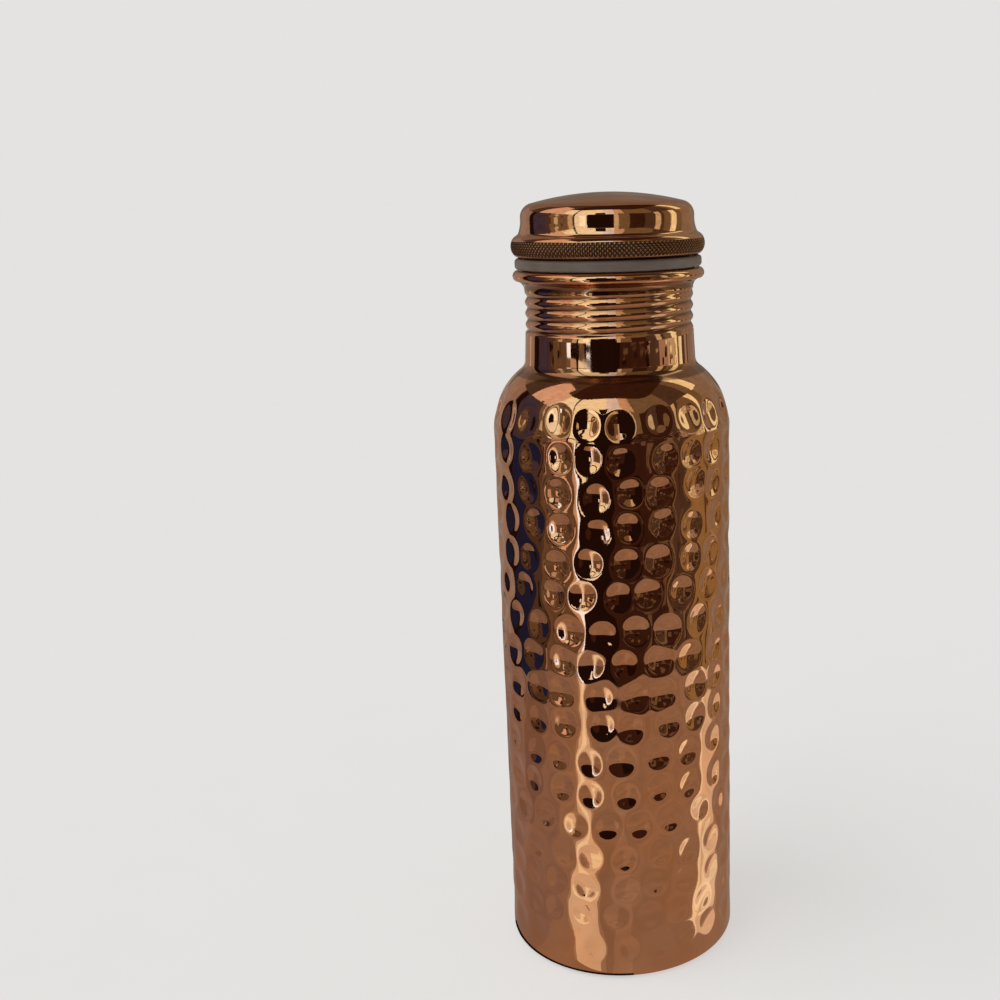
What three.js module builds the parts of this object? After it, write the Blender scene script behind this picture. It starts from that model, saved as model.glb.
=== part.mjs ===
// A hammered copper water bottle with a screw cap, in millimetres, +Z up.
// The origin is the centre of the ring that the bottle stands on.
//
// Five pieces of sheet copper and silicone:
//   bottle_body    barrel, shoulder, rolled neck thread and beaded lip, spun from one sheet
//   base_disc      dished disc, brazed onto the barrel's inturned foot
//   cap_crown      domed cover whose rim is curled under and crimped
//   threaded_plug  cup with a rolled thread, its flange caught in the crown's curl
//   seal_ring      silicone ring round the plug, between lip and crown
import * as THREE from "three";

// Driving dimensions.
const SIDES = 32; // facets round the axis
const SHEET = 0.5; // copper sheet thickness

const BODY_RADIUS = 38.1;
const FOOT_CORNER = 1.5; // outer radius where the barrel turns under
const FOOT_INNER = 34; // inner edge of the inturned foot
const SHOULDER_Z = 176.1; // where the barrel ends and the shoulder arc starts
const SHOULDER_ARC = 24;
const NECK_FILLET = 4; // between shoulder and neck
const NECK_RADIUS = 27.2; // plain part of the neck, at its foot
const NECK_TOP_RADIUS = 26.75; // plain part of the neck, under the thread
const NECK_PLAIN_TOP = 206.9;

const THREAD_PITCH = 3.5; // right-handed, rolled through the sheet
const THREAD_DEPTH = 0.8;
const THREAD_CREST = 26.65; // outside of the neck's thread
const THREAD_BOTTOM = 207.2;
const THREAD_TOP = 220.2;
const THREAD_PHASE = 211.1; // height of one crest, on the +X side
const THREAD_FADE = 1.8; // length over which the thread dies out at each end
const THREAD_GAP = 0.4; // radial, between the neck's thread and the plug's
const ROWS_PER_PITCH = 4;

const FLARE_CENTRE = [29.7, 220.1]; // of the neck's outward flare under the lip
const FLARE_RADIUS = 3.05;
const FLARE_TOP_ANGLE = 100;
const LIP_CENTRE = [28.45, 224.6]; // of the bead round the mouth
const LIP_RADIUS = 1.75;
const LIP_START_ANGLE = -55; // where the flare runs into the bead
const LIP_END_ANGLE = 200; // where the sheet ends, inside the mouth

const DISC_RADIUS = 37;
const DISC_SEAT = 0.3; // brazed joint between disc and foot
const DISC_RISE = 2.8; // how far the disc's middle stands above its rim

const SEAL_OUTER = 29.4;
const SEAL_INNER = 25.6;
const SEAL_BOTTOM = 226.6;
const SEAL_TOP = 230;
const SEAL_CORNER = 1.1;

const CROWN_TOP = 249.8;
const CROWN_DOME = 94.8; // radius of the shallow dome
const CROWN_EDGE = 4.5; // rounded edge between dome and band
const CROWN_EDGE_CENTRE = [22.7, 242.4];
const CROWN_EDGE_ANGLE = 75.4; // where the rounded edge meets the dome
const BAND_FOOT = [27.2, 241.5]; // where the band meets the concave step
const STEP_ARC = 10; // concave step between band and rim
const STEP_ANGLE = 24; // how far the step turns outwards
const CURL_CENTRE = [27.9, 233.7]; // of the rim's oval section
const CURL_HALF = [2.6, 3.4]; // its half width and half height
const CURL_HEM = 25.6; // inner edge of the crimped hem

const PLUG_BOTTOM = 202.4;
const PLUG_CORNER = 2;
const PLUG_RADIUS = 25.2; // plain part, through the seal
const PLUG_THREAD_BOTTOM = 204.8;
const PLUG_THREAD_TOP = 221.6;
const FLANGE_BOTTOM = 231.2;
const COLLAR_RADIUS = 28.6; // the flange's upturned rim, inside the curl
const COLLAR_TOP = 235.4;

const POLISHED = { color: 0xc07850, metalness: 1, roughness: 0.12 };
const SATIN = { color: 0xb87048, metalness: 1, roughness: 0.3 };
const SILICONE = { color: 0xd9d6cf, metalness: 0, roughness: 0.45 };

// An outline is a list of [radius, height] corners. This adds an arc, or an oval's arc, to one.
function arc(outline, [cx, cz], rx, rz, from, to, steps) {
  for (let i = 0; i <= steps; i++) {
    const a = THREE.MathUtils.degToRad(from + ((to - from) * i) / steps);
    outline.push([cx + rx * Math.cos(a), cz + rz * Math.sin(a)]);
  }
}

// Adds rows close enough together to carry a thread, from one height to another.
function threadRows(outline, radius, from, to) {
  const rows = Math.round((Math.abs(to - from) / THREAD_PITCH) * ROWS_PER_PITCH);
  for (let i = 0; i <= rows; i++)
    outline.push([radius, from + ((to - from) * i) / rows]);
}

// Turns a closed outline round the Z axis.
function turned(outline) {
  const points = outline.map(([r, z]) => new THREE.Vector2(r, z));
  return new THREE.LatheGeometry(points, SIDES).rotateX(Math.PI / 2);
}

// Rolls a right-handed thread into a turned wall between two heights, fading out at both ends.
// side -1 presses grooves in from the wall's radius, and +1 pushes ridges out from it.
function rollThread(geometry, bottom, top, side) {
  const p = geometry.getAttribute("position");
  for (let i = 0; i < p.count; i++) {
    const [x, y, z] = [p.getX(i), p.getY(i), p.getZ(i)];
    const share =
      THREE.MathUtils.smoothstep(z, bottom, bottom + THREAD_FADE) *
      (1 - THREE.MathUtils.smoothstep(z, top - THREAD_FADE, top));
    const radius = Math.hypot(x, y);
    if (!share || !radius) continue;
    const turns = (z - THREAD_PHASE) / THREAD_PITCH;
    const wave = Math.cos(2 * Math.PI * turns - Math.atan2(y, x));
    const scale = 1 + (share * THREAD_DEPTH * (wave + side)) / (2 * radius);
    p.setXY(i, x * scale, y * scale);
  }
  return geometry;
}

function bottleBody() {
  const shoulderCentre = [BODY_RADIUS - SHOULDER_ARC, SHOULDER_Z];
  const across = NECK_RADIUS + NECK_FILLET - shoulderCentre[0];
  const up = Math.sqrt((SHOULDER_ARC + NECK_FILLET) ** 2 - across ** 2);
  const filletCentre = [NECK_RADIUS + NECK_FILLET, SHOULDER_Z + up];
  const meet = THREE.MathUtils.radToDeg(Math.atan2(up, across)); // shoulder to fillet
  const footCentre = [BODY_RADIUS - FOOT_CORNER, FOOT_CORNER];
  const outline = [[FOOT_INNER, 0]];

  // One side of the sheet, from the foot or up to the lip, `inset` in from the outside.
  const shoulder = BODY_RADIUS - shoulderCentre[0];
  const outside = [];
  arc(outside, footCentre, FOOT_CORNER, FOOT_CORNER, -90, 0, 3);
  arc(outside, shoulderCentre, shoulder, shoulder, 0, meet, 7);
  arc(outside, filletCentre, NECK_FILLET, NECK_FILLET, meet + 165, 180, 3);
  outside.push([NECK_TOP_RADIUS, NECK_PLAIN_TOP]);
  threadRows(outside, THREAD_CREST, THREAD_BOTTOM, THREAD_TOP);
  arc(outside, FLARE_CENTRE, FLARE_RADIUS, FLARE_RADIUS, 175, FLARE_TOP_ANGLE, 3);
  arc(outside, LIP_CENTRE, LIP_RADIUS, LIP_RADIUS, LIP_START_ANGLE, LIP_END_ANGLE, 9);

  const inside = [];
  const [corner, fillet] = [FOOT_CORNER - SHEET, NECK_FILLET + SHEET];
  const [flare, lip] = [FLARE_RADIUS + SHEET, LIP_RADIUS - SHEET];
  arc(inside, LIP_CENTRE, lip, lip, LIP_END_ANGLE, LIP_START_ANGLE, 7);
  arc(inside, FLARE_CENTRE, flare, flare, FLARE_TOP_ANGLE, 175, 3);
  threadRows(inside, THREAD_CREST - SHEET, THREAD_TOP, THREAD_BOTTOM);
  inside.push([NECK_TOP_RADIUS - SHEET, NECK_PLAIN_TOP]);
  arc(inside, filletCentre, fillet, fillet, 180, meet + 165, 3);
  arc(inside, shoulderCentre, shoulder - SHEET, shoulder - SHEET, meet, 0, 7);
  arc(inside, footCentre, corner, corner, 0, -90, 2);
  inside.push([FOOT_INNER, SHEET], [FOOT_INNER, 0]);

  outline.push(...outside, ...inside);
  return rollThread(turned(outline), THREAD_BOTTOM, THREAD_TOP, -1);
}

// The disc's rim is flat where it lies on the foot, and its middle is dished upwards.
function baseDisc() {
  const bottom = SHEET + DISC_SEAT;
  const [flatFrom, flatTo] = [FOOT_INNER - 1, FOOT_INNER / 2];
  const dish = [0.75, 0.5, 0.25].map((share) => [
    flatTo + (flatFrom - flatTo) * share,
    DISC_RISE * THREE.MathUtils.smoothstep(1 - share, 0, 1),
  ]);
  const under = [
    [0, DISC_RISE],
    [flatTo, DISC_RISE],
    ...dish.toReversed(),
    [flatFrom, 0],
    [DISC_RADIUS, 0],
  ];
  const outline = [
    ...under.map(([r, z]) => [r, bottom + z]),
    ...under.toReversed().map(([r, z]) => [r, bottom + z + SHEET]),
  ];
  return turned(outline);
}

function sealRing() {
  const r = SEAL_OUTER - SEAL_CORNER;
  const [low, high] = [SEAL_BOTTOM + SEAL_CORNER, SEAL_TOP - SEAL_CORNER];
  const outline = [[SEAL_INNER, SEAL_BOTTOM]];
  arc(outline, [r, low], SEAL_CORNER, SEAL_CORNER, -90, 0, 3);
  arc(outline, [r, high], SEAL_CORNER, SEAL_CORNER, 0, 90, 3);
  outline.push([SEAL_INNER, SEAL_TOP], [SEAL_INNER, SEAL_BOTTOM]);
  return turned(outline);
}

function capCrown() {
  const [curlW, curlH] = CURL_HALF;
  const hem = CURL_CENTRE[1] - curlH;
  const stepCentre = [BAND_FOOT[0] + STEP_ARC, BAND_FOOT[1]];
  const [stepIn, stepEnd] = [STEP_ARC + SHEET, 180 + STEP_ANGLE];
  const domeCentre = [0, CROWN_TOP - CROWN_DOME];
  const [edgeIn, domeIn] = [CROWN_EDGE - SHEET, CROWN_DOME - SHEET];

  // Outside: hem, curl, concave step, band, rounded edge and dome.
  const outline = [[CURL_HEM, hem]];
  arc(outline, CURL_CENTRE, curlW, curlH, -90, 70, 8);
  arc(outline, stepCentre, STEP_ARC, STEP_ARC, stepEnd, 180, 3);
  arc(outline, CROWN_EDGE_CENTRE, CROWN_EDGE, CROWN_EDGE, 0, CROWN_EDGE_ANGLE, 5);
  arc(outline, domeCentre, CROWN_DOME, CROWN_DOME, 79, 90, 3);

  // Inside, back down to the hem.
  arc(outline, domeCentre, domeIn, domeIn, 90, 79, 3);
  arc(outline, CROWN_EDGE_CENTRE, edgeIn, edgeIn, CROWN_EDGE_ANGLE, 0, 4);
  arc(outline, stepCentre, stepIn, stepIn, 180, stepEnd, 2);
  arc(outline, CURL_CENTRE, curlW - SHEET, curlH - SHEET, 75, -90, 7);
  outline.push([CURL_HEM, hem + SHEET], [CURL_HEM, hem]);
  return turned(outline);
}

function threadedPlug() {
  const root = THREAD_CREST - SHEET - THREAD_DEPTH - THREAD_GAP;
  const corner = [root - PLUG_CORNER, PLUG_BOTTOM + PLUG_CORNER];
  const cornerIn = PLUG_CORNER - SHEET;
  const bore = PLUG_RADIUS - SHEET;
  const flangeTop = FLANGE_BOTTOM + SHEET;

  const outline = [[0, PLUG_BOTTOM]];
  arc(outline, corner, PLUG_CORNER, PLUG_CORNER, -90, 0, 3);
  threadRows(outline, root, PLUG_THREAD_BOTTOM, PLUG_THREAD_TOP);
  outline.push(
    [PLUG_RADIUS, PLUG_THREAD_TOP + 0.5],
    [PLUG_RADIUS, FLANGE_BOTTOM],
    [COLLAR_RADIUS, FLANGE_BOTTOM],
    [COLLAR_RADIUS, COLLAR_TOP],
    [COLLAR_RADIUS - SHEET, COLLAR_TOP],
    [COLLAR_RADIUS - SHEET, flangeTop],
    [bore, flangeTop],
    [bore, PLUG_THREAD_TOP + 0.5],
  );
  threadRows(outline, root - SHEET, PLUG_THREAD_TOP, PLUG_THREAD_BOTTOM);
  arc(outline, corner, cornerIn, cornerIn, 0, -90, 3);
  outline.push([0, PLUG_BOTTOM + SHEET]);
  return rollThread(turned(outline), PLUG_THREAD_BOTTOM, PLUG_THREAD_TOP, 1);
}

function piece(name, geometry, finish) {
  const mesh = new THREE.Mesh(geometry, new THREE.MeshStandardMaterial(finish));
  mesh.name = name;
  return mesh;
}

const cap = new THREE.Group();
cap.add(piece("cap_crown", capCrown(), POLISHED));
cap.add(piece("threaded_plug", threadedPlug(), SATIN));
cap.add(piece("seal_ring", sealRing(), SILICONE));

const bottle = new THREE.Group();
bottle.add(piece("bottle_body", bottleBody(), POLISHED));
bottle.add(piece("base_disc", baseDisc(), SATIN));
bottle.add(cap);

export default bottle;
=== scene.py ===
"""Hammered copper water bottle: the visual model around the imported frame, its studio and camera.

Lengths are in millimetres, and skin() and place() turn them into metres.
A ring's columns start at +X and run anticlockwise seen from above. The camera looks along +Y.
"""
import math
import random

import bpy
import numpy as np
from mathutils import Matrix, Vector


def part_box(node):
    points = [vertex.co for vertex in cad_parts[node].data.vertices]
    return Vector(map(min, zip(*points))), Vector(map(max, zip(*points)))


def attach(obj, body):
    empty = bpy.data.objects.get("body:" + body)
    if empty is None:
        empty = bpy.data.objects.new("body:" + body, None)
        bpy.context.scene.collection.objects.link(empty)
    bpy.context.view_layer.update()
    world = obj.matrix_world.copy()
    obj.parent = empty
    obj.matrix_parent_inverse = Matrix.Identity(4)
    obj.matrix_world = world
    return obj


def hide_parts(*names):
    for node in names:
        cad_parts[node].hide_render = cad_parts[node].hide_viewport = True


MM = 0.001
TAU = 2 * math.pi

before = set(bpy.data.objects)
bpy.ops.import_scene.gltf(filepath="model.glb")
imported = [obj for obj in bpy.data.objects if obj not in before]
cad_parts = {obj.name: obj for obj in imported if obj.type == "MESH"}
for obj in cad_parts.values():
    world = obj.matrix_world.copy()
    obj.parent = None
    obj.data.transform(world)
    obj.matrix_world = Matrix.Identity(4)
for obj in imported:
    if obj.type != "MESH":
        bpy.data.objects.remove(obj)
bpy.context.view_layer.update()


def span(node):
    """(largest radius, lowest height, highest height) of a CAD node."""
    low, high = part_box(node)
    return high.x / MM, low.z / MM, high.z / MM


BODY_RADIUS, _, LIP_TOP = span("bottle_body")
DISC_RADIUS, DISC_LOW, DISC_HIGH = span("base_disc")
RIM_RADIUS, HEM_Z, CROWN_TOP = span("cap_crown")
COLLAR_RADIUS, PLUG_BOTTOM, COLLAR_TOP = span("threaded_plug")
SEAL_RADIUS, SEAL_LOW, SEAL_HIGH = span("seal_ring")

SHEET = 0.5  # copper sheet thickness

# Barrel, shoulder and the plain part of the neck.
FOOT_CORNER = 1.5  # outer radius where the barrel turns under
FOOT_INNER = BODY_RADIUS - 4.1  # inner edge of the inturned foot
SHOULDER_ARC = 24.0
SHOULDER_Z = 176.1  # where the barrel ends and the shoulder arc starts
MARKED_SHOULDER = 15.0  # how far the hammered wall runs up the shoulder arc
NECK_FILLET = 4.0  # between shoulder and neck
NECK_RADIUS = 27.2  # at the neck's foot
NECK_TOP_RADIUS = 26.75  # under the thread
NECK_PLAIN_TOP = 206.9
FILLET_FOOT = 194.6  # where the neck turns out into the shoulder

# The thread that is rolled through the neck, and the plug's thread inside it.
THREAD_PITCH = 3.5
THREAD_DEPTH = 0.8
THREAD_CREST = 26.65  # outside of the neck's thread
THREAD_BOTTOM = 207.1
THREAD_TOP = 220.2
THREAD_PHASE = 211.1  # height of one crest, on the +X side
THREAD_FADE = 1.8  # length over which a thread dies out at its end
NECK_STEP = 0.5  # how quickly the neck's thread starts above its plain part
THREAD_GAP = 0.4  # radial, between the neck's thread and the plug's

# The flare above the thread, and the bead round the mouth.
LIP_FOOT = 221.4  # where the neck turns out into its lip
LIP_RADIUS = 1.75
LIP_CENTRE = (28.45, LIP_TOP - LIP_RADIUS)
LIP_ANGLES = (-55, 200)  # where the bead leaves the flare, and where the sheet ends inside the mouth
FLARE_CENTRE = (29.7, LIP_TOP - 6.25)
FLARE_RADIUS = 3.05
FLARE_ANGLES = (175, 100)  # where the flare leaves the neck, and where it meets the bead

# The disc in the foot.
DISC_FLAT = FOOT_INNER - 1  # outside this radius the disc is flat
SWAGES = ((9, 1.3), (26, 1.2))  # radius and half width of its two faint turned rings
SWAGE_DEPTH = 0.25

# The cap's crown.
CROWN_DOME = 94.8  # radius of the shallow dome
CROWN_EDGE = 4.5  # rounded edge between dome and band
CROWN_EDGE_CENTRE = (22.7, CROWN_TOP - 7.4)
CROWN_EDGE_ANGLE = 75.4  # where the rounded edge meets the dome
DOME_FOOT_ANGLE = CROWN_EDGE_ANGLE + 0.5  # the dome's first ring, just past the join
BAND_FOOT = (27.2, CROWN_TOP - 8.3)  # where the band meets the concave step
STEP_ARC = 10.0  # concave step between band and rim
STEP_ANGLE = 24  # how far the step turns outwards
CURL_HALF = (2.6, 3.4)  # half width and half height of the rim's oval section
CURL_CENTRE = (RIM_RADIUS - CURL_HALF[0], HEM_Z + CURL_HALF[1])
CURL_TOP_ANGLES = (68, 75)  # where the curl meets the step, outside and inside
CURL_HEM = 25.6  # inner edge of the crimped hem

# The knurl on the rim.
KNURLS_ROUND = 134
KNURL_LOW = HEM_Z + 0.6
KNURL_HIGH = HEM_Z + 5.1
KNURL_FADES = (0.5, 0.25)  # length over which the knurl dies out at its lower and upper edge
KNURL_DEPTH = 0.42
KNURL_LAND = 0.3  # share of each diamond left smooth

# The plug, and the seal round it.
PLUG_CORNER = 2.0
PLUG_RADIUS = 25.2  # plain part, through the seal
PLUG_THREAD = (PLUG_BOTTOM + 2.4, THREAD_TOP + 1.4)
FLANGE_Z = HEM_Z + 0.9  # underside of the plug's flange
SEAL_INNER = 25.6
SEAL_CORNER = 1.1

# How finely the pieces are meshed. COLUMNS are points round the axis, and ROW is between rows of them.
# Where two column counts meet in one piece, the larger is a whole multiple of the smaller.
BARREL_COLUMNS = 308
NECK_COLUMNS = 154
INSIDE_COLUMNS = 77
KNURL_COLUMNS = 8 * KNURLS_ROUND
BAND_COLUMNS = 2 * KNURLS_ROUND
DOME_COLUMNS = KNURLS_ROUND
DISC_COLUMNS = 96
PLUG_COLUMNS = 128
SEAL_COLUMNS = 160
BARREL_ROW = 0.87
INSIDE_ROW = 3 * BARREL_ROW
PLAIN_ROW = 1.2
THREAD_ROW = 0.3
KNURL_ROW = 0.16


# ---------------------------------------------------------------- outlines

def arc(centre, radii, start, end, steps):
    """Points (radius, height) on an oval's arc, from start to end in degrees."""
    turns = [math.radians(start + (end - start) * i / steps) for i in range(steps + 1)]
    return [(centre[0] + radii[0] * math.cos(a), centre[1] + radii[1] * math.sin(a)) for a in turns]


def line(start, end, step):
    """Points from start up to, and not including, end, about step apart."""
    count = max(1, round(math.dist(start, end) / step))
    return [tuple(a + (b - a) * i / count for a, b in zip(start, end)) for i in range(count)]


def smoothstep(x):
    x = np.clip(x, 0, 1)
    return x * x * (3 - 2 * x)


# ---------------------------------------------------------------- skins

def circle(radius, height, columns, out=0.0, up=0.0):
    """A ring of points. out and up shift each point from the circle, as one number or one a column."""
    if radius < 1e-6:
        return np.array([[0.0, 0.0, height]])
    turn = np.arange(columns) * TAU / columns
    reach = radius + np.zeros(columns) + out
    return np.stack([reach * np.cos(turn), reach * np.sin(turn), height + np.zeros(columns) + up], 1)


def rings(outline, columns):
    """Plain rings through an outline of (radius, height)."""
    return [circle(r, z, columns) for r, z in outline]


def stitch(a, n, b, m):
    """Faces from ring a, of n points, up to ring b, of m. m is a whole multiple of n."""
    if n == 1:
        return [(a, b + (i + 1) % m, b + i) for i in range(m)]
    if n == m:
        return [(a + i, a + (i + 1) % n, b + (i + 1) % n, b + i) for i in range(n)]
    share = m // n
    half = share // 2
    faces = []
    for i in range(n):
        here, after = a + i, a + (i + 1) % n
        fine = [b + (i * share + j) % m for j in range(share + 1)]
        faces += [(here, fine[j + 1], fine[j]) for j in range(half)]
        faces += [(after, fine[j + 1], fine[j]) for j in range(half, share)]
        faces.append((here, after, fine[half]))
    return faces


def skin(name, loops, closed):
    """A mesh object through rings of points. closed joins the last ring to the first."""
    starts = np.cumsum([0] + [len(p) for p in loops])
    pairs = [(i, i + 1) for i in range(len(loops) - 1)]
    if closed:
        pairs.append((len(loops) - 1, 0))
    faces = []
    for i, j in pairs:
        n, m = len(loops[i]), len(loops[j])
        if n <= m:
            faces += stitch(int(starts[i]), n, int(starts[j]), m)
        else:
            faces += [f[::-1] for f in stitch(int(starts[j]), m, int(starts[i]), n)]
    mesh = bpy.data.meshes.new(name)
    mesh.from_pydata((np.concatenate(loops) * MM).tolist(), [], faces)
    mesh.update()
    mesh.shade_smooth()
    obj = bpy.data.objects.new(name, mesh)
    bpy.context.scene.collection.objects.link(obj)
    return obj


# ---------------------------------------------------------------- hammer marks

# Rows of hammer marks: height along the wall from the table up, and where round the bottle one mark
# stands, in degrees from the camera's side towards +X.
MARK_ROWS = (
    (183.0, -11),
    (172.0, 6),
    (161.5, 7),
    (151.0, 7),
    (140.0, 6),
    (129.5, 1),
    (118.5, -7),
    (107.5, 5),
    (97.5, 7),
    (87.0, 6),
    (76.0, 3),
    (64.5, 3),
    (53.5, -6),
    (42.0, 2),
    (32.0, 0),
    (21.5, -2),
    (11.0, 1),
)
MARKS_ROUND = 22
MARK_STRAY = (0.09, 0.6)  # how far marks stand off their place: share of the spacing, and height
MARK_RADIUS = (4.2, 4.8)  # smallest and largest
MARK_DEPTH = 1.12  # in the top row
LOW_MARK_DEPTH = 0.64  # in the lowest row
MARK_FORCE = (0.85, 1.2)  # lightest and heaviest blow, as a share of the row's depth
MARK_SQUASH = (0.82, 0.98)  # a mark's width as a share of its length
MARK_TILT = 0.35  # how far marks lean, in radians
MARK_RIM = 0.13  # how softly a mark meets the wall
MARK_TAIL = 0.02  # what is cut off a mark's soft rim, so that it ends
MARK_REACH = 1.6  # how far out a mark is felt, in its own radii
HAMMER_SEED = 41

# Slow waves left in the wall by the hammering.
WAVES = 5
WAVES_ROUND = (2, 6)  # fewest and most of them round the bottle
WAVES_UP = (0.006, 0.022)  # fewest and most of them to a millimetre of height
WAVE_DEPTH = (0.02, 0.05)  # shallowest and deepest
WAVE_FADE = 8.0  # length over which they die out at the top of the hammered wall
WAVE_SEED = 7

# Above the foot's corner the wall is smooth for this far, and then the hammering fades in over this far.
FOOT_SMOOTH = 2.0
FOOT_FADE = 4.0


def hammer_marks():
    """The marks, each struck by hand: (turn, height, radius, depth, squash, tilt)."""
    rng = random.Random(HAMMER_SEED)
    marks = []
    for row, (height, azimuth) in enumerate(MARK_ROWS):
        share = row / (len(MARK_ROWS) - 1)
        row_depth = MARK_DEPTH + (LOW_MARK_DEPTH - MARK_DEPTH) * share
        for i in range(MARKS_ROUND):
            turn = math.radians(azimuth - 90) + (i + rng.gauss(0, MARK_STRAY[0])) * TAU / MARKS_ROUND
            radius = rng.uniform(*MARK_RADIUS)
            depth = rng.uniform(*MARK_FORCE) * row_depth
            squash = rng.uniform(*MARK_SQUASH)
            tilt = rng.gauss(0, MARK_TILT)
            middle = height + rng.gauss(0, MARK_STRAY[1])
            marks.append((turn % TAU, middle, radius, depth, squash, tilt))
    return marks


def slow_waves():
    """(times round, waves per millimetre up, phase, depth) of the wall's slow waves."""
    rng = random.Random(WAVE_SEED)
    return [
        (rng.randint(*WAVES_ROUND), rng.uniform(*WAVES_UP), rng.uniform(0, TAU), rng.uniform(*WAVE_DEPTH))
        for _ in range(WAVES)
    ]


MARKS = hammer_marks()
SLOW_WAVES = slow_waves()


def mark_depth(turn, height):
    """How deep the wall is pressed in at each turn, at one height along the wall."""
    total = np.zeros_like(turn)
    for at, middle, radius, depth, squash, tilt in MARKS:
        up = height - middle
        if abs(up) > MARK_REACH * radius:
            continue
        across = BODY_RADIUS * ((turn - at + math.pi) % TAU - math.pi)
        near = np.abs(across) < MARK_REACH * radius
        x = across[near]
        u = (x * math.cos(tilt) + up * math.sin(tilt)) / (radius * squash)
        v = (up * math.cos(tilt) - x * math.sin(tilt)) / radius
        bowl = 1 - (u * u + v * v)
        bowl = (bowl + np.sqrt(bowl * bowl + MARK_RIM)) / 2
        bowl = np.clip(bowl - MARK_TAIL, 0, None)
        total[near] += (bowl * depth) ** 3
    pressed = np.cbrt(total)
    wave = sum(
        depth * (1 + np.sin(times * turn + height * upward * TAU + phase))
        for times, upward, phase, depth in SLOW_WAVES
    )
    at_top = smoothstep((SHOULDER_Z + MARKED_SHOULDER - height) / WAVE_FADE)
    at_foot = smoothstep((height - FOOT_CORNER - FOOT_SMOOTH) / FOOT_FADE)
    return at_foot * (pressed + at_top * wave / 2)


# ---------------------------------------------------------------- threads

def thread_wave(columns, z):
    """0 in the thread's root to 1 on its crest, for each column at one height."""
    turn = np.arange(columns) * TAU / columns
    along = (z - THREAD_PHASE) / THREAD_PITCH - turn / TAU
    off_crest = 2 * np.abs((along + 0.5) % 1 - 0.5)
    round_crest = 1 - off_crest ** 2
    soft_root = (1 + np.cos(math.pi * off_crest)) / 2
    return (round_crest + soft_root) / 2


def fade_in(z, bottom, top, at_bottom, at_top):
    """0 outside bottom and top, and 1 between them, changing over the two lengths given last."""
    return smoothstep((z - bottom) / at_bottom) * smoothstep((top - z) / at_top)


def grooved(radius, levels, columns):
    """Rings of the neck's wall, pressed in between the thread's crests."""
    loops = []
    for z in levels:
        share = fade_in(z, THREAD_BOTTOM, THREAD_TOP, NECK_STEP, THREAD_FADE)
        loops.append(circle(radius, z, columns, -share * THREAD_DEPTH * (1 - thread_wave(columns, z))))
    return loops


def ridged(radius, levels, columns, bottom, top):
    """Rings of the plug's wall, pushed out into the thread's ridges."""
    loops = []
    for z in levels:
        share = fade_in(z, bottom, top, THREAD_FADE, THREAD_FADE)
        loops.append(circle(radius, z, columns, share * THREAD_DEPTH * thread_wave(columns, z)))
    return loops


def heights(low, high, step):
    """Levels from low to high, about step apart."""
    return list(np.linspace(low, high, round(abs(high - low) / step) + 1))


# ---------------------------------------------------------------- dirt and painted shade in the grooves

ROOT_SHADE = 0.52  # painted shade in the roots of the neck's thread
# Painted shade in the two creases, darkening what they mirror.
CREASE_SHADE = 0.4
CREASES = ((FILLET_FOOT, 3.0), (LIP_FOOT, 2.2))  # middle height and half width
CREASE_REACH = NECK_RADIUS + 3.2  # largest radius that a crease's dirt comes to
KNURL_GRIME_AND_SHADE = (0.3, 1.0)  # dirt and painted shade on the knurl's lands, and in its grooves
KNURL_DEEPEST = 1.3  # in groove depths. Points further in are on the sheet's inside.


def soil_and_shade(obj, how_deep):
    """Stores how deep in a groove each point is, for the material to darken with dirt and painted shade.
    """
    points = np.empty(3 * len(obj.data.vertices))
    obj.data.vertices.foreach_get("co", points)
    x, y, z = points.reshape(-1, 3).T / MM
    deep = np.clip(how_deep(np.hypot(x, y), z), 0, 1)
    groove = obj.data.attributes.new("groove", "FLOAT", "POINT")
    groove.data.foreach_set("value", deep.astype(np.float32))


def in_knurl(radius, z):
    """The grooves of the rim's knurl, measured from its smooth oval section."""
    height = np.clip((z - CURL_CENTRE[1]) / CURL_HALF[1], -1, 1)
    curl = CURL_CENTRE[0] + CURL_HALF[0] * np.sqrt(1 - height ** 2)
    depth = (curl - radius) / KNURL_DEPTH
    knurled = (z > KNURL_LOW) & (z < KNURL_HIGH) & (depth < KNURL_DEEPEST)
    # The knurl is darkened partly by dirt and partly by painted shade.
    on_land, in_groove = KNURL_GRIME_AND_SHADE
    return np.where(knurled, on_land + (in_groove - on_land) * depth, 0)


def in_neck(radius, z):
    """The thread's roots, and the two creases at the neck's foot and under its lip."""
    depth = (THREAD_CREST - radius) / THREAD_DEPTH
    threaded = (z > THREAD_BOTTOM) & (z < THREAD_TOP) & (radius > THREAD_CREST - THREAD_DEPTH - 0.1)
    # Painted shade: darker in the thread's roots and in the two creases.
    roots = np.where(threaded, ROOT_SHADE * np.clip(depth, 0, 1) ** 2, 0)
    creases = sum(
        CREASE_SHADE * np.clip(1 - ((z - middle) / reach) ** 2, 0, 1) for middle, reach in CREASES
    )
    outside = (radius > NECK_TOP_RADIUS - 0.1) & (radius < CREASE_REACH)
    return roots + np.where(outside, creases, 0)


# ---------------------------------------------------------------- copper pieces

def barrel_wall(inset, columns, step):
    """Rings up the hammered wall, from the foot corner to the top of the marks on the shoulder."""
    turn = np.arange(columns) * TAU / columns
    centre = BODY_RADIUS - SHOULDER_ARC
    loops = []
    for height in heights(FOOT_CORNER, SHOULDER_Z + MARKED_SHOULDER, step):
        bend = max(0, height - SHOULDER_Z) / SHOULDER_ARC
        press = inset + mark_depth(turn, height)
        if bend:
            r, z = centre + SHOULDER_ARC * math.cos(bend), SHOULDER_Z + SHOULDER_ARC * math.sin(bend)
        else:
            r, z = BODY_RADIUS, height
        loops.append(circle(r, z, columns, -press * math.cos(bend), -press * math.sin(bend)))
    return loops


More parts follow.
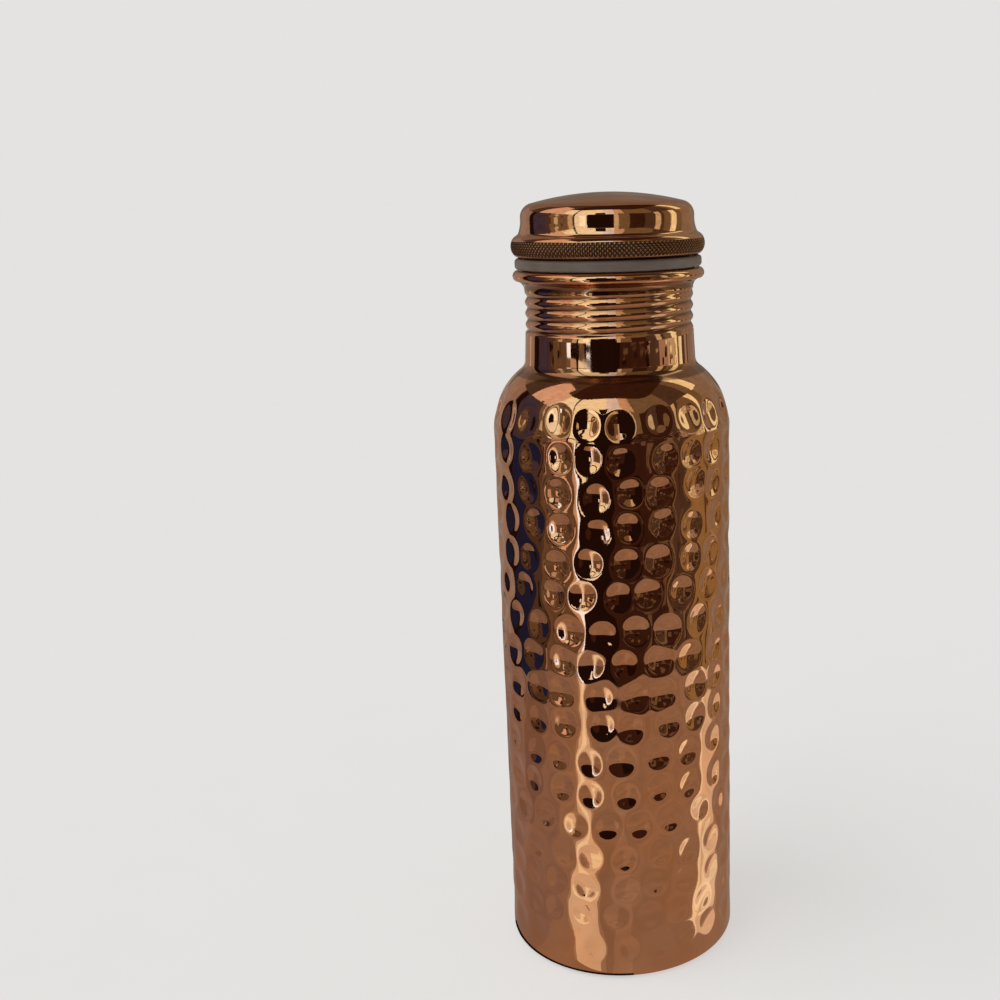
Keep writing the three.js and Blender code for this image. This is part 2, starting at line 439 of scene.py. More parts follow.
def make_body():
    """Barrel, shoulder, neck and lip, as one closed skin down the outside and up the inside."""
    across = NECK_RADIUS + NECK_FILLET - BODY_RADIUS + SHOULDER_ARC
    up = math.sqrt((SHOULDER_ARC + NECK_FILLET) ** 2 - across ** 2)
    meet = math.degrees(math.atan2(up, across))
    shoulder_centre = (BODY_RADIUS - SHOULDER_ARC, SHOULDER_Z)
    fillet_centre = (NECK_RADIUS + NECK_FILLET, SHOULDER_Z + up)
    foot_centre = (BODY_RADIUS - FOOT_CORNER, FOOT_CORNER)
    thread_rows = heights(THREAD_BOTTOM, THREAD_TOP, THREAD_ROW)

    def side(inset, columns, wall):
        """The sheet's outside (inset 0) or inside, from the end of the hammered wall up to the mouth."""
        arc_radius = SHOULDER_ARC - inset
        fillet = NECK_FILLET + inset
        flare = FLARE_RADIUS + inset
        lip = LIP_RADIUS - inset
        loops = list(wall)
        bend = math.degrees(MARKED_SHOULDER / SHOULDER_ARC)
        shoulder = arc(shoulder_centre, (arc_radius, arc_radius), bend, meet, 12)[1:]
        neck = arc(fillet_centre, (fillet, fillet), meet + 180, 180, 8)[1:]
        foot_of_plain = (NECK_RADIUS - inset, neck[-1][1])
        top_of_plain = (NECK_TOP_RADIUS - inset, NECK_PLAIN_TOP)
        plain = line(foot_of_plain, top_of_plain, PLAIN_ROW)[1:] + [top_of_plain]
        loops += rings(shoulder + neck + plain, columns)
        loops += grooved(THREAD_CREST - inset, thread_rows, columns)
        loops += rings(arc(FLARE_CENTRE, (flare, flare), *FLARE_ANGLES, 7), columns)
        loops += rings(arc(LIP_CENTRE, (lip, lip), *LIP_ANGLES, 18), columns)
        return loops

    outside = barrel_wall(0, BARREL_COLUMNS, BARREL_ROW)
    inside = barrel_wall(SHEET, INSIDE_COLUMNS, INSIDE_ROW)
    corner = FOOT_CORNER - SHEET
    loops = rings([(FOOT_INNER, 0)], INSIDE_COLUMNS)
    loops += rings(arc(foot_centre, (FOOT_CORNER, FOOT_CORNER), -90, -8, 5), BARREL_COLUMNS)
    loops += side(0, NECK_COLUMNS, outside)
    loops += side(SHEET, INSIDE_COLUMNS, inside)[::-1]
    loops += rings(arc(foot_centre, (corner, corner), -8, -90, 4), INSIDE_COLUMNS)
    loops += rings([(FOOT_INNER, SHEET)], INSIDE_COLUMNS)
    body = skin("hammered_body", loops, closed=True)
    soil_and_shade(body, in_neck)
    return body


def make_base():
    """A dished disc with two faint turned rings."""
    rise = DISC_HIGH - DISC_LOW - SHEET
    radii = list(np.linspace(0, DISC_FLAT, 40)) + [DISC_FLAT + 1, DISC_RADIUS - 0.3, DISC_RADIUS]

    def height(r):
        dish = rise * (1 - smoothstep((r - DISC_FLAT / 2) / (DISC_FLAT / 2)))
        swages = sum(SWAGE_DEPTH * math.exp(-(((r - middle) / wide) ** 2)) for middle, wide in SWAGES)
        return DISC_LOW + dish - swages * (r < DISC_FLAT)

    under = [(r, max(DISC_LOW, height(r))) for r in radii]
    over = [(r, height(r) + SHEET) for r in radii]
    return skin("dished_base", rings(under + over[::-1], DISC_COLUMNS), closed=False)


def knurl(columns, z):
    """How deep the crossed grooves are at each column, from 0 to 1."""
    turn = np.arange(columns) * TAU / columns
    along = turn * KNURLS_ROUND / TAU
    rise = z * KNURLS_ROUND / (TAU * RIM_RADIUS)
    left = np.abs(((along + rise) % 1) - 0.5) * 2
    right = np.abs(((along - rise) % 1) - 0.5) * 2
    groove = np.maximum(left, right)
    fade = fade_in(z, KNURL_LOW, KNURL_HIGH, *KNURL_FADES)
    return fade * smoothstep((groove - KNURL_LAND) / (1 - KNURL_LAND))


def on_curl(z):
    """Radius of the rim's oval section at a height."""
    return CURL_CENTRE[0] + CURL_HALF[0] * math.sqrt(1 - ((z - CURL_CENTRE[1]) / CURL_HALF[1]) ** 2)


def curl_angle(z):
    """Where on the rim's oval section a height is, in degrees."""
    return math.degrees(math.asin((z - CURL_CENTRE[1]) / CURL_HALF[1]))


def make_crown():
    """The cap's cover: hem, knurled curl, step, band, edge and dome, and back down the inside."""
    dome_centre = (0, CROWN_TOP - CROWN_DOME)
    step_centre = (BAND_FOOT[0] + STEP_ARC, BAND_FOOT[1])
    step_end = 180 + STEP_ANGLE

    under = [(CURL_HEM, HEM_Z)] + arc(CURL_CENTRE, CURL_HALF, -90, curl_angle(KNURL_LOW) - 2, 5)
    loops = rings(under, BAND_COLUMNS)
    for z in heights(KNURL_LOW, KNURL_HIGH, KNURL_ROW):
        loops.append(circle(on_curl(z), z, KNURL_COLUMNS, -KNURL_DEPTH * knurl(KNURL_COLUMNS, z)))
    over = arc(CURL_CENTRE, CURL_HALF, curl_angle(KNURL_HIGH + 0.12), CURL_TOP_ANGLES[0], 6)
    over += arc(step_centre, (STEP_ARC, STEP_ARC), step_end, 180, 9)
    over += arc(CROWN_EDGE_CENTRE, (CROWN_EDGE, CROWN_EDGE), 0, CROWN_EDGE_ANGLE, 16)
    loops += rings(over, BAND_COLUMNS)
    loops += rings(arc(dome_centre, (CROWN_DOME, CROWN_DOME), DOME_FOOT_ANGLE, 90, 14), DOME_COLUMNS)

    dome_in, edge_in, step_in = CROWN_DOME - SHEET, CROWN_EDGE - SHEET, STEP_ARC + SHEET
    curl_in = (CURL_HALF[0] - SHEET, CURL_HALF[1] - SHEET)
    inside = arc(dome_centre, (dome_in, dome_in), 90, DOME_FOOT_ANGLE, 6)
    inside += arc(CROWN_EDGE_CENTRE, (edge_in, edge_in), CROWN_EDGE_ANGLE, 0, 6)
    inside += arc(step_centre, (step_in, step_in), 180, step_end, 3)
    inside += arc(CURL_CENTRE, curl_in, CURL_TOP_ANGLES[1], -90, 12) + [(CURL_HEM, HEM_Z + SHEET)]
    loops += rings(inside, DOME_COLUMNS)
    crown = skin("knurled_crown", loops, closed=True)
    soil_and_shade(crown, in_knurl)
    return crown


def make_plug():
    """The threaded cup under the crown, with the flange and collar that the crown is crimped onto."""
    root = THREAD_CREST - SHEET - THREAD_DEPTH - THREAD_GAP
    corner = (root - PLUG_CORNER, PLUG_BOTTOM + PLUG_CORNER)
    corner_in = PLUG_CORNER - SHEET
    rows = heights(*PLUG_THREAD, THREAD_ROW)
    thread_end = PLUG_THREAD[1] + 0.5
    bore = PLUG_RADIUS - SHEET
    collar_in = COLLAR_RADIUS - SHEET
    flange = [
        (PLUG_RADIUS, thread_end),
        (PLUG_RADIUS, FLANGE_Z - 0.4),
        (PLUG_RADIUS + 0.1, FLANGE_Z - 0.1),
        (PLUG_RADIUS + 0.4, FLANGE_Z),
        (COLLAR_RADIUS - 0.5, FLANGE_Z),
        (COLLAR_RADIUS - 0.1, FLANGE_Z + 0.15),
        (COLLAR_RADIUS, FLANGE_Z + 0.5),
        (COLLAR_RADIUS, COLLAR_TOP),
        (collar_in, COLLAR_TOP),
        (collar_in, FLANGE_Z + SHEET),
        (bore, FLANGE_Z + SHEET),
        (bore, thread_end),
    ]
    loops = rings([(r, PLUG_BOTTOM) for r in (0, 8, 16)], PLUG_COLUMNS)
    loops += rings(arc(corner, (PLUG_CORNER, PLUG_CORNER), -90, 0, 6), PLUG_COLUMNS)
    loops += ridged(root, rows, PLUG_COLUMNS, *PLUG_THREAD)
    loops += rings(flange, PLUG_COLUMNS)
    loops += ridged(root - SHEET, rows[::-1], PLUG_COLUMNS, *PLUG_THREAD)
    loops += rings(arc(corner, (corner_in, corner_in), 0, -90, 4), PLUG_COLUMNS)
    loops += rings([(0, PLUG_BOTTOM + SHEET)], PLUG_COLUMNS)
    return skin("threaded_plug_cup", loops, closed=False)


# ---------------------------------------------------------------- silicone piece

def make_seal():
    """A flat ring with a rounded outer edge."""
    middle = SEAL_RADIUS - SEAL_CORNER
    outline = [(SEAL_INNER, SEAL_LOW)]
    outline += arc((middle, SEAL_LOW + SEAL_CORNER), (SEAL_CORNER, SEAL_CORNER), -90, 0, 8)
    outline += arc((middle, SEAL_HIGH - SEAL_CORNER), (SEAL_CORNER, SEAL_CORNER), 0, 90, 8)
    outline += [(SEAL_INNER, SEAL_HIGH)]
    return skin("silicone_seal", rings(outline, SEAL_COLUMNS), closed=True)


# ---------------------------------------------------------------- materials

class Look:
    """A material's nodes, with short calls for the few kinds used here."""

    def __init__(self, name):
        self.material = bpy.data.materials.new(name)
        self.material.use_nodes = True
        self.tree = self.material.node_tree
        self.shader = self.tree.nodes["Principled BSDF"]
        self.place = self.node("ShaderNodeTexCoord").outputs["Object"]

    def node(self, kind, inputs=None, **settings):
        """A new node, with its settings and what goes into its sockets."""
        made = self.tree.nodes.new(kind)
        for key, value in settings.items():
            setattr(made, key, value)
        for key, value in (inputs or {}).items():
            self.put(made.inputs[key], value)
        return made

    def put(self, socket, value):
        """Links another node's output to a socket, or sets its value."""
        if isinstance(value, bpy.types.NodeSocket):
            self.tree.links.new(value, socket)
        else:
            socket.default_value = value

    def noise(self, scale, detail=3.0, stretch=(1, 1, 1), roughness=0.5):
        """Noise from 0 to 1 in the piece's own metres. A stretch below 1 draws it out along that axis."""
        placed = self.node("ShaderNodeMapping", {"Vector": self.place, "Scale": stretch})
        made = self.node(
            "ShaderNodeTexNoise",
            {"Vector": placed.outputs[0], "Scale": scale, "Detail": detail, "Roughness": roughness},
        )
        return made.outputs["Fac"]

    def ramp(self, value, low, high, to_low, to_high):
        """Turns the range low to high into to_low to to_high, and holds it there beyond."""
        made = self.node(
            "ShaderNodeMapRange",
            {"Value": value, "From Min": low, "From Max": high, "To Min": to_low, "To Max": to_high},
        )
        return made.outputs[0]

    def mix(self, share, first, second):
        """The colour between first, at share 0, and second, at share 1."""
        made = self.node("ShaderNodeMix", data_type="RGBA")
        self.put(made.inputs[0], share)
        self.put(made.inputs[6], first)
        self.put(made.inputs[7], second)
        return made.outputs[2]

    def math(self, operation, *values):
        made = self.node("ShaderNodeMath", operation=operation)
        for socket, value in zip(made.inputs, values):
            self.put(socket, value)
        return made.outputs[0]

    def bump(self, height, strength, distance):
        made = self.node("ShaderNodeBump", {"Height": height, "Strength": strength, "Distance": distance})
        return made.outputs[0]

    def set(self, **inputs):
        """Sets the shader's own inputs, named with _ for each space."""
        for key, value in inputs.items():
            self.put(self.shader.inputs[key.replace("_", " ")], value)


COPPER = (0.90, 0.42, 0.22, 1)
COPPER_ROSE = (0.88, 0.45, 0.27, 1)
COPPER_TARNISH = (0.62, 0.26, 0.13, 1)
# Dirt and painted shade darkening the grooves: the knurl's, the thread's roots and the neck's creases.
GROOVE_GRIME_AND_SHADE = (0.10, 0.045, 0.028, 1)
# The seal's own grey-beige darkened with painted shade, for the shade under the cap's rim. The second
# colour is a darker cloud in it.
SILICONE = (0.215, 0.168, 0.138, 1)
SILICONE_SHADE = (0.17, 0.132, 0.105, 1)


def polished_copper(name):
    """Mirror-bright copper with faint clouding, wiping marks, spots of tarnish, and dirt and painted shade
    in its grooves.
    """
    look = Look(name)
    warmth = look.ramp(look.noise(55, 4), 0.35, 0.65, 0, 1)
    tarnish = look.ramp(look.noise(320, 6, roughness=0.65), 0.60, 0.8, 0, 0.4)
    colour = look.mix(warmth, COPPER, COPPER_ROSE)
    colour = look.mix(tarnish, colour, COPPER_TARNISH)
    smudge = look.ramp(look.noise(90, 5), 0.45, 0.75, 0.02, 0.075)
    wiping = look.ramp(look.noise(900, 2, stretch=(1, 1, 0.06)), 0.5, 0.8, 0, 0.035)
    roughness = look.math("ADD", smudge, wiping)
    deep = look.node("ShaderNodeAttribute", attribute_name="groove").outputs["Fac"]
    # Darker in the grooves, partly dirt and partly painted shade.
    grime_and_shade = look.ramp(deep, 0, 0.6, 0, 0.93)
    colour = look.mix(grime_and_shade, colour, GROOVE_GRIME_AND_SHADE)
    roughness = look.math("ADD", roughness, look.ramp(deep, 0.25, 0.6, 0, 0.25))
    hairlines = look.noise(2600, 2, stretch=(1, 1, 0.03))
    look.set(
        Base_Color=colour,
        Metallic=1.0,
        Roughness=roughness,
        Normal=look.bump(hairlines, 0.04, 0.0001),
    )
    return look.material


def satin_copper(name):
    """Copper as it was formed, with stains and fine turning marks round its axis."""
    look = Look(name)
    stain = look.ramp(look.noise(120, 5), 0.4, 0.7, 0, 0.8)
    colour = look.mix(stain, COPPER_ROSE, COPPER_TARNISH)
    flattened = look.node("ShaderNodeMapping", {"Vector": look.place, "Scale": (1, 1, 0)})
    radius = look.node("ShaderNodeVectorMath", operation="LENGTH")
    look.put(radius.inputs[0], flattened.outputs[0])
    turning = look.node("ShaderNodeTexNoise", {"Scale": 1900.0, "Detail": 2.0}, noise_dimensions="1D")
    look.put(turning.inputs["W"], radius.outputs["Value"])
    look.set(
        Base_Color=colour,
        Metallic=1.0,
        Roughness=look.ramp(look.noise(200, 4), 0.3, 0.7, 0.2, 0.38),
        Normal=look.bump(turning.outputs["Fac"], 0.15, 0.0002),
    )
    return look.material


def silicone(name):
    """Cloudy silicone that lets a little light in, its own grey-beige darkened to grey-brown with painted
    shade.
    """
    look = Look(name)
    cloud = look.ramp(look.noise(140, 4), 0.35, 0.7, 0, 1)
    look.set(
        Base_Color=look.mix(cloud, SILICONE, SILICONE_SHADE),
        Roughness=look.ramp(look.noise(260, 4), 0.3, 0.7, 0.32, 0.5),
        Subsurface_Weight=0.6,
        Subsurface_Radius=(1.0, 0.9, 0.8),
        Subsurface_Scale=0.003,
        Normal=look.bump(look.noise(700, 3), 0.08, 0.0002),
    )
    return look.material


# ---------------------------------------------------------------- studio

BACKGROUND = (0.776, 0.768, 0.753, 1)

# What the copper mirrors stands round a table whose edge is this far off, with rounded corners.
TABLE_REACH = 268.0
TABLE_SQUARENESS = 5
WALL_GAP = 8.0  # from the table's edge to the walls

# The surroundings are laid out in levels: what the barrel, the neck and the cap mirror, and the top.
NECK_LEVEL = 150.0
CAP_LEVEL = 215.0
TOP_LEVEL = 372.0
CEILING = 640.0

TURN_STEP = 5  # most degrees between two points of a strip
ROOM_SEED = 5
CLUTTER_NEARER = 6.0  # how far small shapes stand in front of the walls
CLUTTER_STEP = 0.05  # how much nearer each of them stands than the last

# How strongly each colour of the surroundings glows, in red, green and blue.
GLOW = {
    "slate": (0.30, 0.27, 0.24),
    "haze": (0.20, 0.17, 0.14),
    "taupe": (0.25, 0.22, 0.17),
    "navy": (0.014, 0.020, 0.070),
    "violet": (0.053, 0.048, 0.088),
    "ink": (0.014, 0.007, 0.006),
    "soot": (0.038, 0.018, 0.012),
    "umber": (0.075, 0.055, 0.042),
    "cocoa": (0.130, 0.100, 0.065),
    "bronze": (0.170, 0.145, 0.085),
    "amber": (0.280, 0.225, 0.105),
    "clay": (0.36, 0.31, 0.25),
    "pane": (0.40, 0.45, 0.42),
    "daylight": (1.10, 1.75, 2.60),
    "window": (1.15, 1.50, 1.50),
    "cream": (0.95, 1.18, 1.02),
    "peach": (0.56, 0.48, 0.37),
    "moon": (0.75, 0.95, 1.20),
    "blush": (0.70, 0.60, 0.50),
    "gold": (0.55, 0.58, 0.40),
    "sun": (0.95, 1.15, 0.85),
    "sand": (0.285, 0.228, 0.175),
    "rose": (0.25, 0.20, 0.175),
    "dim": (0.195, 0.158, 0.135),
    "faint": (0.33, 0.27, 0.215),
    "glare": (0.70, 0.70, 0.61),
    "shine": (0.90, 1.05, 0.90),
}
BLOTCH = 0.16  # how unevenly each colour glows

# (points, faces) of the surface that glows in each colour.
ROOM = {colour: ([], []) for colour in GLOW}


def spot(azimuth, reach, z):
    """A point round the bottle. Azimuth 0 is towards the camera and 90 towards +X, in degrees."""
    a = math.radians(azimuth)
    return (reach * math.sin(a), -reach * math.cos(a), z)


def edge_of_table(azimuth):
    """How far off the table's edge is, in one direction."""
    a = math.radians(azimuth)
    p = TABLE_SQUARENESS
    return TABLE_REACH / (abs(math.sin(a)) ** p + abs(math.cos(a)) ** p) ** (1 / p)


def strip(colour, low, high):
    """Adds a strip of glowing surface between two rows of points, one for each azimuth."""
    points, faces = ROOM[colour]
    first = len(points)
    for pair in zip(low, high):
        points += pair
    faces += [
        (first + 2 * i, first + 2 * i + 2, first + 2 * i + 3, first + 2 * i + 1)
        for i in range(len(low) - 1)
    ]


def sweep(start, end):
    """Azimuths from start to end, at most TURN_STEP apart."""
    steps = max(1, math.ceil((end - start) / TURN_STEP))
    return [start + (end - start) * i / steps for i in range(steps + 1)]


def wall(colour, start, end, low, high, nearer=0.0):
    """Part of the surroundings, beyond the table's edge. nearer moves it in front of other parts."""
    turns = sweep(start, end)
    rows = [[spot(a, edge_of_table(a) + WALL_GAP - nearer, z) for a in turns] for z in (low, high)]
    strip(colour, *rows)


def walls(low, high, panels):
    """Panels side by side, each a colour and where it starts. The last entry is the end."""
    for (start, colour), (end, _) in zip(panels, panels[1:]):
        wall(colour, start, end, low, high)


def ground(colour, start, end, near, far, lift):
    """Part of the table or ceiling. near and far are shares of the way to the table's edge."""
    turns = sweep(start, end)
    rows = [[spot(a, edge_of_table(a) * share, lift) for a in turns] for share in (near, far)]
    strip(colour, *rows)


def beam(colour, edges, lift):
    """Light along the table. edges lists (share of the way to the table's edge, start, end)."""
    left = [spot(start, edge_of_table(start) * share, lift) for share, start, _ in edges]
    right = [spot(end, edge_of_table(end) * share, lift) for share, _, end in edges]
    strip(colour, left, right)


def clutter(rng, colours, start, end, low, high, count, wide, tall):
    """Small shapes scattered over part of the wall. wide, in degrees, and tall are ranges of size."""
    for i in range(count):
        a, z = rng.uniform(start, end), rng.uniform(low, high)
        w, h = rng.uniform(*wide), rng.uniform(*tall)
        wall(rng.choice(colours), a, a + w, z, z + h, nearer=CLUTTER_NEARER + CLUTTER_STEP * i)


def lay_table():
    """The table, with its streaks of light and a painted shadow: the dark line along the bottle's foot."""
    # It all lies just under the bottle's foot, and what covers something else lies a little higher.
    ground("rose", -180, -55, 0.05, 1, -0.4)
    ground("sand", -55, 180, 0.05, 1, -0.4)
    beam("dim", ((0.45, -93, -88), (1, -106, -74)), -0.35)
    beam("clay", ((0.15, -29, -9), (0.235, -45, -14), (1, -38.5, -26)), -0.35)
    beam("glare", ((0.15, -27, -12), (0.235, -42, -17), (1, -36, -28)), -0.3)
    beam("shine", ((0.3, -35, -27), (1, -33.5, -30)), -0.2)
    beam("faint", ((0.15, -6, 5), (0.6, -4, 5.5), (1, 2, 6)), -0.35)
    beam("clay", ((0.165, 45, 64), (0.235, 59, 87), (1, 83, 107)), -0.35)
    beam("glare", ((0.165, 48, 62), (0.235, 62, 84), (1, 85, 104)), -0.3)
    beam("shine", ((0.165, 47.5, 50), (0.235, 61, 65), (1, 84, 87)), -0.2)
    beam("shine", ((0.2, 60, 68), (0.45, 84, 92)), -0.2)
    # Painted shadow: a dark strip round the foot, where the bottle shades the table.
    turns = sweep(-85, 5)
    strip("ink", [spot(a, 30, -0.1) for a in turns], [spot(a, BODY_RADIUS + 1.8, -0.1) for a in turns])


def lay_low_walls(rng):
    """What stands low down, mirrored in the barrel."""
    walls(0, NECK_LEVEL, (
        (-180, "slate"), (-116, "ink"), (-108, "navy"), (-84, "umber"), (-70, "cocoa"), (-37, "peach"),
        (-32.5, "daylight"), (-29.5, "ink"), (0, "soot"), (50, "bronze"), (54, "umber"), (77, "amber"),
        (114, "taupe"), (150, "slate"), (180, ""),
    ))
    wall("blush", -52, -46, 60, 128, nearer=4)
    wall("cream", -26, -22, 100, NECK_LEVEL, nearer=4)
    clutter(rng, ("umber", "ink", "clay"), -84, -52, 0, 140, 30, (1.5, 4), (6, 26))
    clutter(rng, ("umber", "ink", "cocoa"), 0, 48, 5, 140, 14, (3, 9), (10, 40))
    clutter(rng, ("cocoa", "bronze", "soot"), 54, 76, 0, 145, 18, (1.5, 4), (8, 36))
    clutter(rng, ("umber", "bronze", "clay"), 78, 112, 0, 145, 14, (1.5, 4), (20, 60))


def lay_neck_walls(rng):
    """What stands level with the neck, mirrored in it."""
    walls(NECK_LEVEL, CAP_LEVEL, (
        (-180, "slate"), (-132, "blush"), (-129, "slate"), (-118, "ink"), (-106, "violet"), (-86, "umber"),
        (-78, "cocoa"), (-58, "bronze"), (-52, "peach"), (-44, "ink"), (-41, "cream"), (-29, "pane"),
        (-25.5, "ink"), (12, "soot"), (50, "umber"), (66, "clay"), (80, "gold"), (93, "sun"),
        (97.5, "bronze"), (101.5, "sun"), (108, "umber"), (115, "clay"), (121, "umber"), (124, "taupe"),
        (150, "slate"), (180, ""),
    ))
    # A dark bar across the window there, with gaps that let some light through.
    bar = (191, 203)
    wall("ink", -52, -26, *bar, nearer=3)
    wall("daylight", -57, -51.5, *bar, nearer=4)
    wall("cocoa", -40, -33, *bar, nearer=4)
    for z in (187, 194, 201):
        wall("daylight", -30, -25, z, z + 2.5, nearer=4.5)
    clutter(rng, ("umber", "bronze", "ink"), -86, -60, NECK_LEVEL, 210, 40, (1.5, 4), (2, 8))
    clutter(rng, ("umber", "cocoa", "ink"), 14, 48, NECK_LEVEL, 212, 40, (2, 8), (1.2, 3))
    clutter(rng, ("ink", "clay", "soot"), 46, 78, NECK_LEVEL, 212, 60, (1, 4), (1.5, 6))
    clutter(rng, ("clay", "umber", "sun"), 76, 96, NECK_LEVEL, 212, 34, (1, 3), (1.5, 6))


def lay_cap_walls(rng):
    """What stands level with the cap, mirrored in it."""
    walls(CAP_LEVEL, TOP_LEVEL, (
        (-180, "haze"), (-150, "slate"), (-118, "ink"), (-108, "violet"), (-84, "umber"), (-78, "bronze"),
        (-70, "gold"), (-64, "bronze"), (-50, "gold"), (-43.5, "ink"), (-41, "cream"), (-25, "ink"),
        (8.5, "gold"), (14, "bronze"), (28, "soot"), (48, "umber"), (63, "gold"), (71, "umber"),
        (76, "bronze"), (88, "sun"), (98, "bronze"), (110, "taupe"), (150, "haze"), (180, ""),
    ))
    wall("window", -35, -27, 240, 310, nearer=4)
    wall("cream", -25, 8.5, 345, TOP_LEVEL, nearer=3)
    wall("ink", -15, -2, 345, 405, nearer=5)
    clutter(rng, ("umber", "cocoa", "haze"), -84, -58, 222, TOP_LEVEL, 10, (2, 4), (10, 50))


def lay_top():
    """Above it all, a bright band and then a dark ceiling."""
    walls(TOP_LEVEL, CEILING, (
        (-180, "haze"), (-128, "umber"), (-104, "blush"), (-60, "cream"), (-6, "moon"), (9, "peach"),
        (22, "bronze"), (62, "umber"), (96, "bronze"), (108, "sun"), (120, "taupe"), (150, "haze"),
        (180, ""),
    ))
    wall("ink", -43.5, -41, TOP_LEVEL, CEILING, nearer=3)
    ground("soot", -60, 120, 0, 1.05, CEILING)
    ground("umber", -120, -60, 0, 1.05, CEILING)
    ground("haze", 120, 240, 0, 1.05, CEILING)
    ground("blush", -104, -70, 0.78, 1.05, CEILING - 2)


def lay_back(rng):
    """What stands behind the bottle, mirrored only when it is seen from the other side."""
    clutter(rng, ("umber", "pane", "cocoa", "clay"), 152, 206, 0, 212, 30, (2, 9), (10, 60))


def make_room():
    """The surroundings, as one object for each colour, seen only in the bottle's mirror finish."""
    rng = random.Random(ROOM_SEED)
    lay_table()
    lay_low_walls(rng)
    lay_neck_walls(rng)
    lay_cap_walls(rng)
    lay_top()
    lay_back(rng)
    for colour, (points, faces) in ROOM.items():
        obj = place("room_" + colour, points, faces, glowing(colour))
        obj.visible_camera = False
        obj.visible_diffuse = False
        obj.visible_transmission = False
        obj.visible_volume_scatter = False
        obj.visible_shadow = False


def glowing(colour):
    """A material that only glows, a little unevenly."""
    look = Look("glow_" + colour)
    look.tree.nodes.remove(look.shader)
    strength = look.ramp(look.noise(22, 4), 0.3, 0.7, 1 - BLOTCH, 1 + BLOTCH)
    glow = look.node("ShaderNodeEmission", {"Color": (*GLOW[colour], 1), "Strength": strength})
    look.tree.links.new(glow.outputs[0], look.tree.nodes["Material Output"].inputs["Surface"])
    return look.material


def place(name, points, faces, material):
    """A staged object: part of the studio rather than of the bottle."""
    mesh = bpy.data.meshes.new(name)
    mesh.from_pydata([tuple(c * MM for c in p) for p in points], [], faces)
    mesh.materials.append(material)
    obj = bpy.data.objects.new(name, mesh)
    bpy.context.scene.collection.objects.link(obj)
    return obj


FLOOR_COLOUR = (0.60, 0.594, 0.582, 1)
SKY_LIGHT = 0.22
KEY_LIGHT = 0.80
KEY_FROM = (-0.9, -0.35, 1.0)  # direction towards the soft key light
KEY_WIDTH = 60  # degrees across
FLOOR_HALF = 60000
FLOOR_Z = -0.6  # just under the table that the copper mirrors
# The floor glows by what the lights leave short of the backdrop, so that its far edge can't be seen.
FLOOR_GLOW = 1 - (FLOOR_COLOUR[0] / BACKGROUND[0]) * (
    SKY_LIGHT + KEY_LIGHT / math.pi * Vector(KEY_FROM).normalized().z
)


def make_floor():
    """A pale floor out to where the eye can't tell it from the backdrop."""
    look = Look("pale_floor")
    speck = look.ramp(look.noise(30, 5), 0.3, 0.7, 0.985, 1.015)
    even = look.node("ShaderNodeVectorMath", operation="SCALE")
    look.put(even.inputs[0], FLOOR_COLOUR[:3])
    look.put(even.inputs["Scale"], speck)
    look.set(
        Base_Color=even.outputs[0],
        Roughness=1.0,
        Specular_IOR_Level=0.0,
        Emission_Color=BACKGROUND,
        Emission_Strength=FLOOR_GLOW,
    )
    signs = ((-1, -1), (1, -1), (1, 1), (-1, 1))
    corners = [(x * FLOOR_HALF, y * FLOOR_HALF, FLOOR_Z) for x, y in signs]
    floor = place("pale_floor", corners, [(0, 1, 2, 3)], look.material)
    floor.visible_glossy = False


def make_world():
    """Even light on everything, behind a plain pale backdrop."""
    world = bpy.data.worlds.new("studio")
    world.use_nodes = True
    nodes, links = world.node_tree.nodes, world.node_tree.links
    light = nodes["Background"]
    light.inputs["Color"].default_value = (1, 1, 1, 1)
    light.inputs["Strength"].default_value = SKY_LIGHT
    backdrop = nodes.new("ShaderNodeBackground")
    backdrop.inputs["Color"].default_value = BACKGROUND
    seen = nodes.new("ShaderNodeLightPath")
    either = nodes.new("ShaderNodeMixShader")
    links.new(seen.outputs["Is Camera Ray"], either.inputs[0])
    links.new(light.outputs[0], either.inputs[1])
    links.new(backdrop.outputs[0], either.inputs[2])
    links.new(either.outputs[0], nodes["World Output"].inputs["Surface"])
    bpy.context.scene.world = world


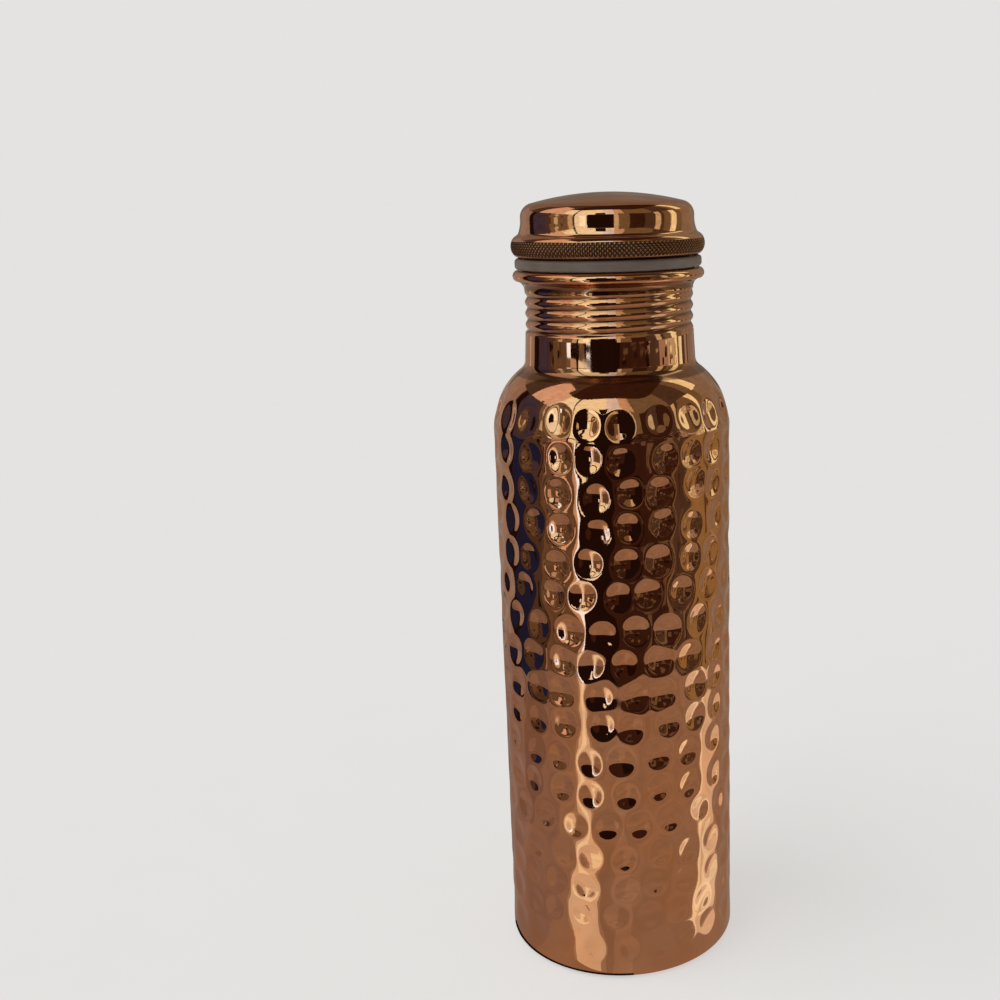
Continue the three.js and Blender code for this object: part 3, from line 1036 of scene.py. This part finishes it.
def make_key_light():
    """One wide, soft light from the upper left, which the copper doesn't mirror."""
    data = bpy.data.lights.new("soft_key", "SUN")
    data.energy = KEY_LIGHT
    data.angle = math.radians(KEY_WIDTH)
    obj = bpy.data.objects.new("soft_key", data)
    obj.rotation_euler = Vector(KEY_FROM).to_track_quat("Z", "Y").to_euler()
    obj.visible_glossy = False
    bpy.context.scene.collection.objects.link(obj)


CAMERA_PLACE = (0, -402.8, 249.0)
CAMERA_PITCH = 0.2265  # radians downwards
CAMERA_ROLL = -0.0222  # radians
CAMERA_LENS = 45.4
CAMERA_SENSOR = 36
CAMERA_SHIFT = (-0.113, -0.0153)  # the bottle stands right of the picture's middle


def make_camera():
    """The photograph's viewpoint: level with the cap, looking down 13 degrees."""
    ahead = Vector((0, math.cos(CAMERA_PITCH), -math.sin(CAMERA_PITCH)))
    level = Vector((1, 0, 0))
    upright = level.cross(ahead)
    right = level * math.cos(CAMERA_ROLL) + upright * math.sin(CAMERA_ROLL)
    up = upright * math.cos(CAMERA_ROLL) - level * math.sin(CAMERA_ROLL)
    data = bpy.data.cameras.new("camera")
    data.sensor_width = CAMERA_SENSOR
    data.lens = CAMERA_LENS
    data.shift_x, data.shift_y = CAMERA_SHIFT
    camera = bpy.data.objects.new("camera", data)
    turn = Matrix((right, up, -ahead)).transposed().to_4x4()
    camera.matrix_world = Matrix.Translation(Vector(CAMERA_PLACE) * MM) @ turn
    bpy.context.scene.collection.objects.link(camera)
    bpy.context.scene.camera = camera


# ---------------------------------------------------------------- assembly

def finish_piece(obj, node, body, material):
    """Gives a piece its material, hides the CAD node it replaces and attaches it to the body it moves
    with.
    """
    obj.data.materials.append(material)
    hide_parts(node)
    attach(obj, body)


make_camera()
make_world()
make_floor()
make_room()
make_key_light()
bpy.context.scene.view_settings.view_transform = "Standard"

finish_piece(make_body(), "bottle_body", "bottle", polished_copper("hammered_copper"))
finish_piece(make_base(), "base_disc", "bottle", satin_copper("satin_copper_base"))
finish_piece(make_crown(), "cap_crown", "cap", polished_copper("polished_copper"))
finish_piece(make_plug(), "threaded_plug", "cap", satin_copper("satin_copper_plug"))
finish_piece(make_seal(), "seal_ring", "seal", silicone("milky_silicone"))
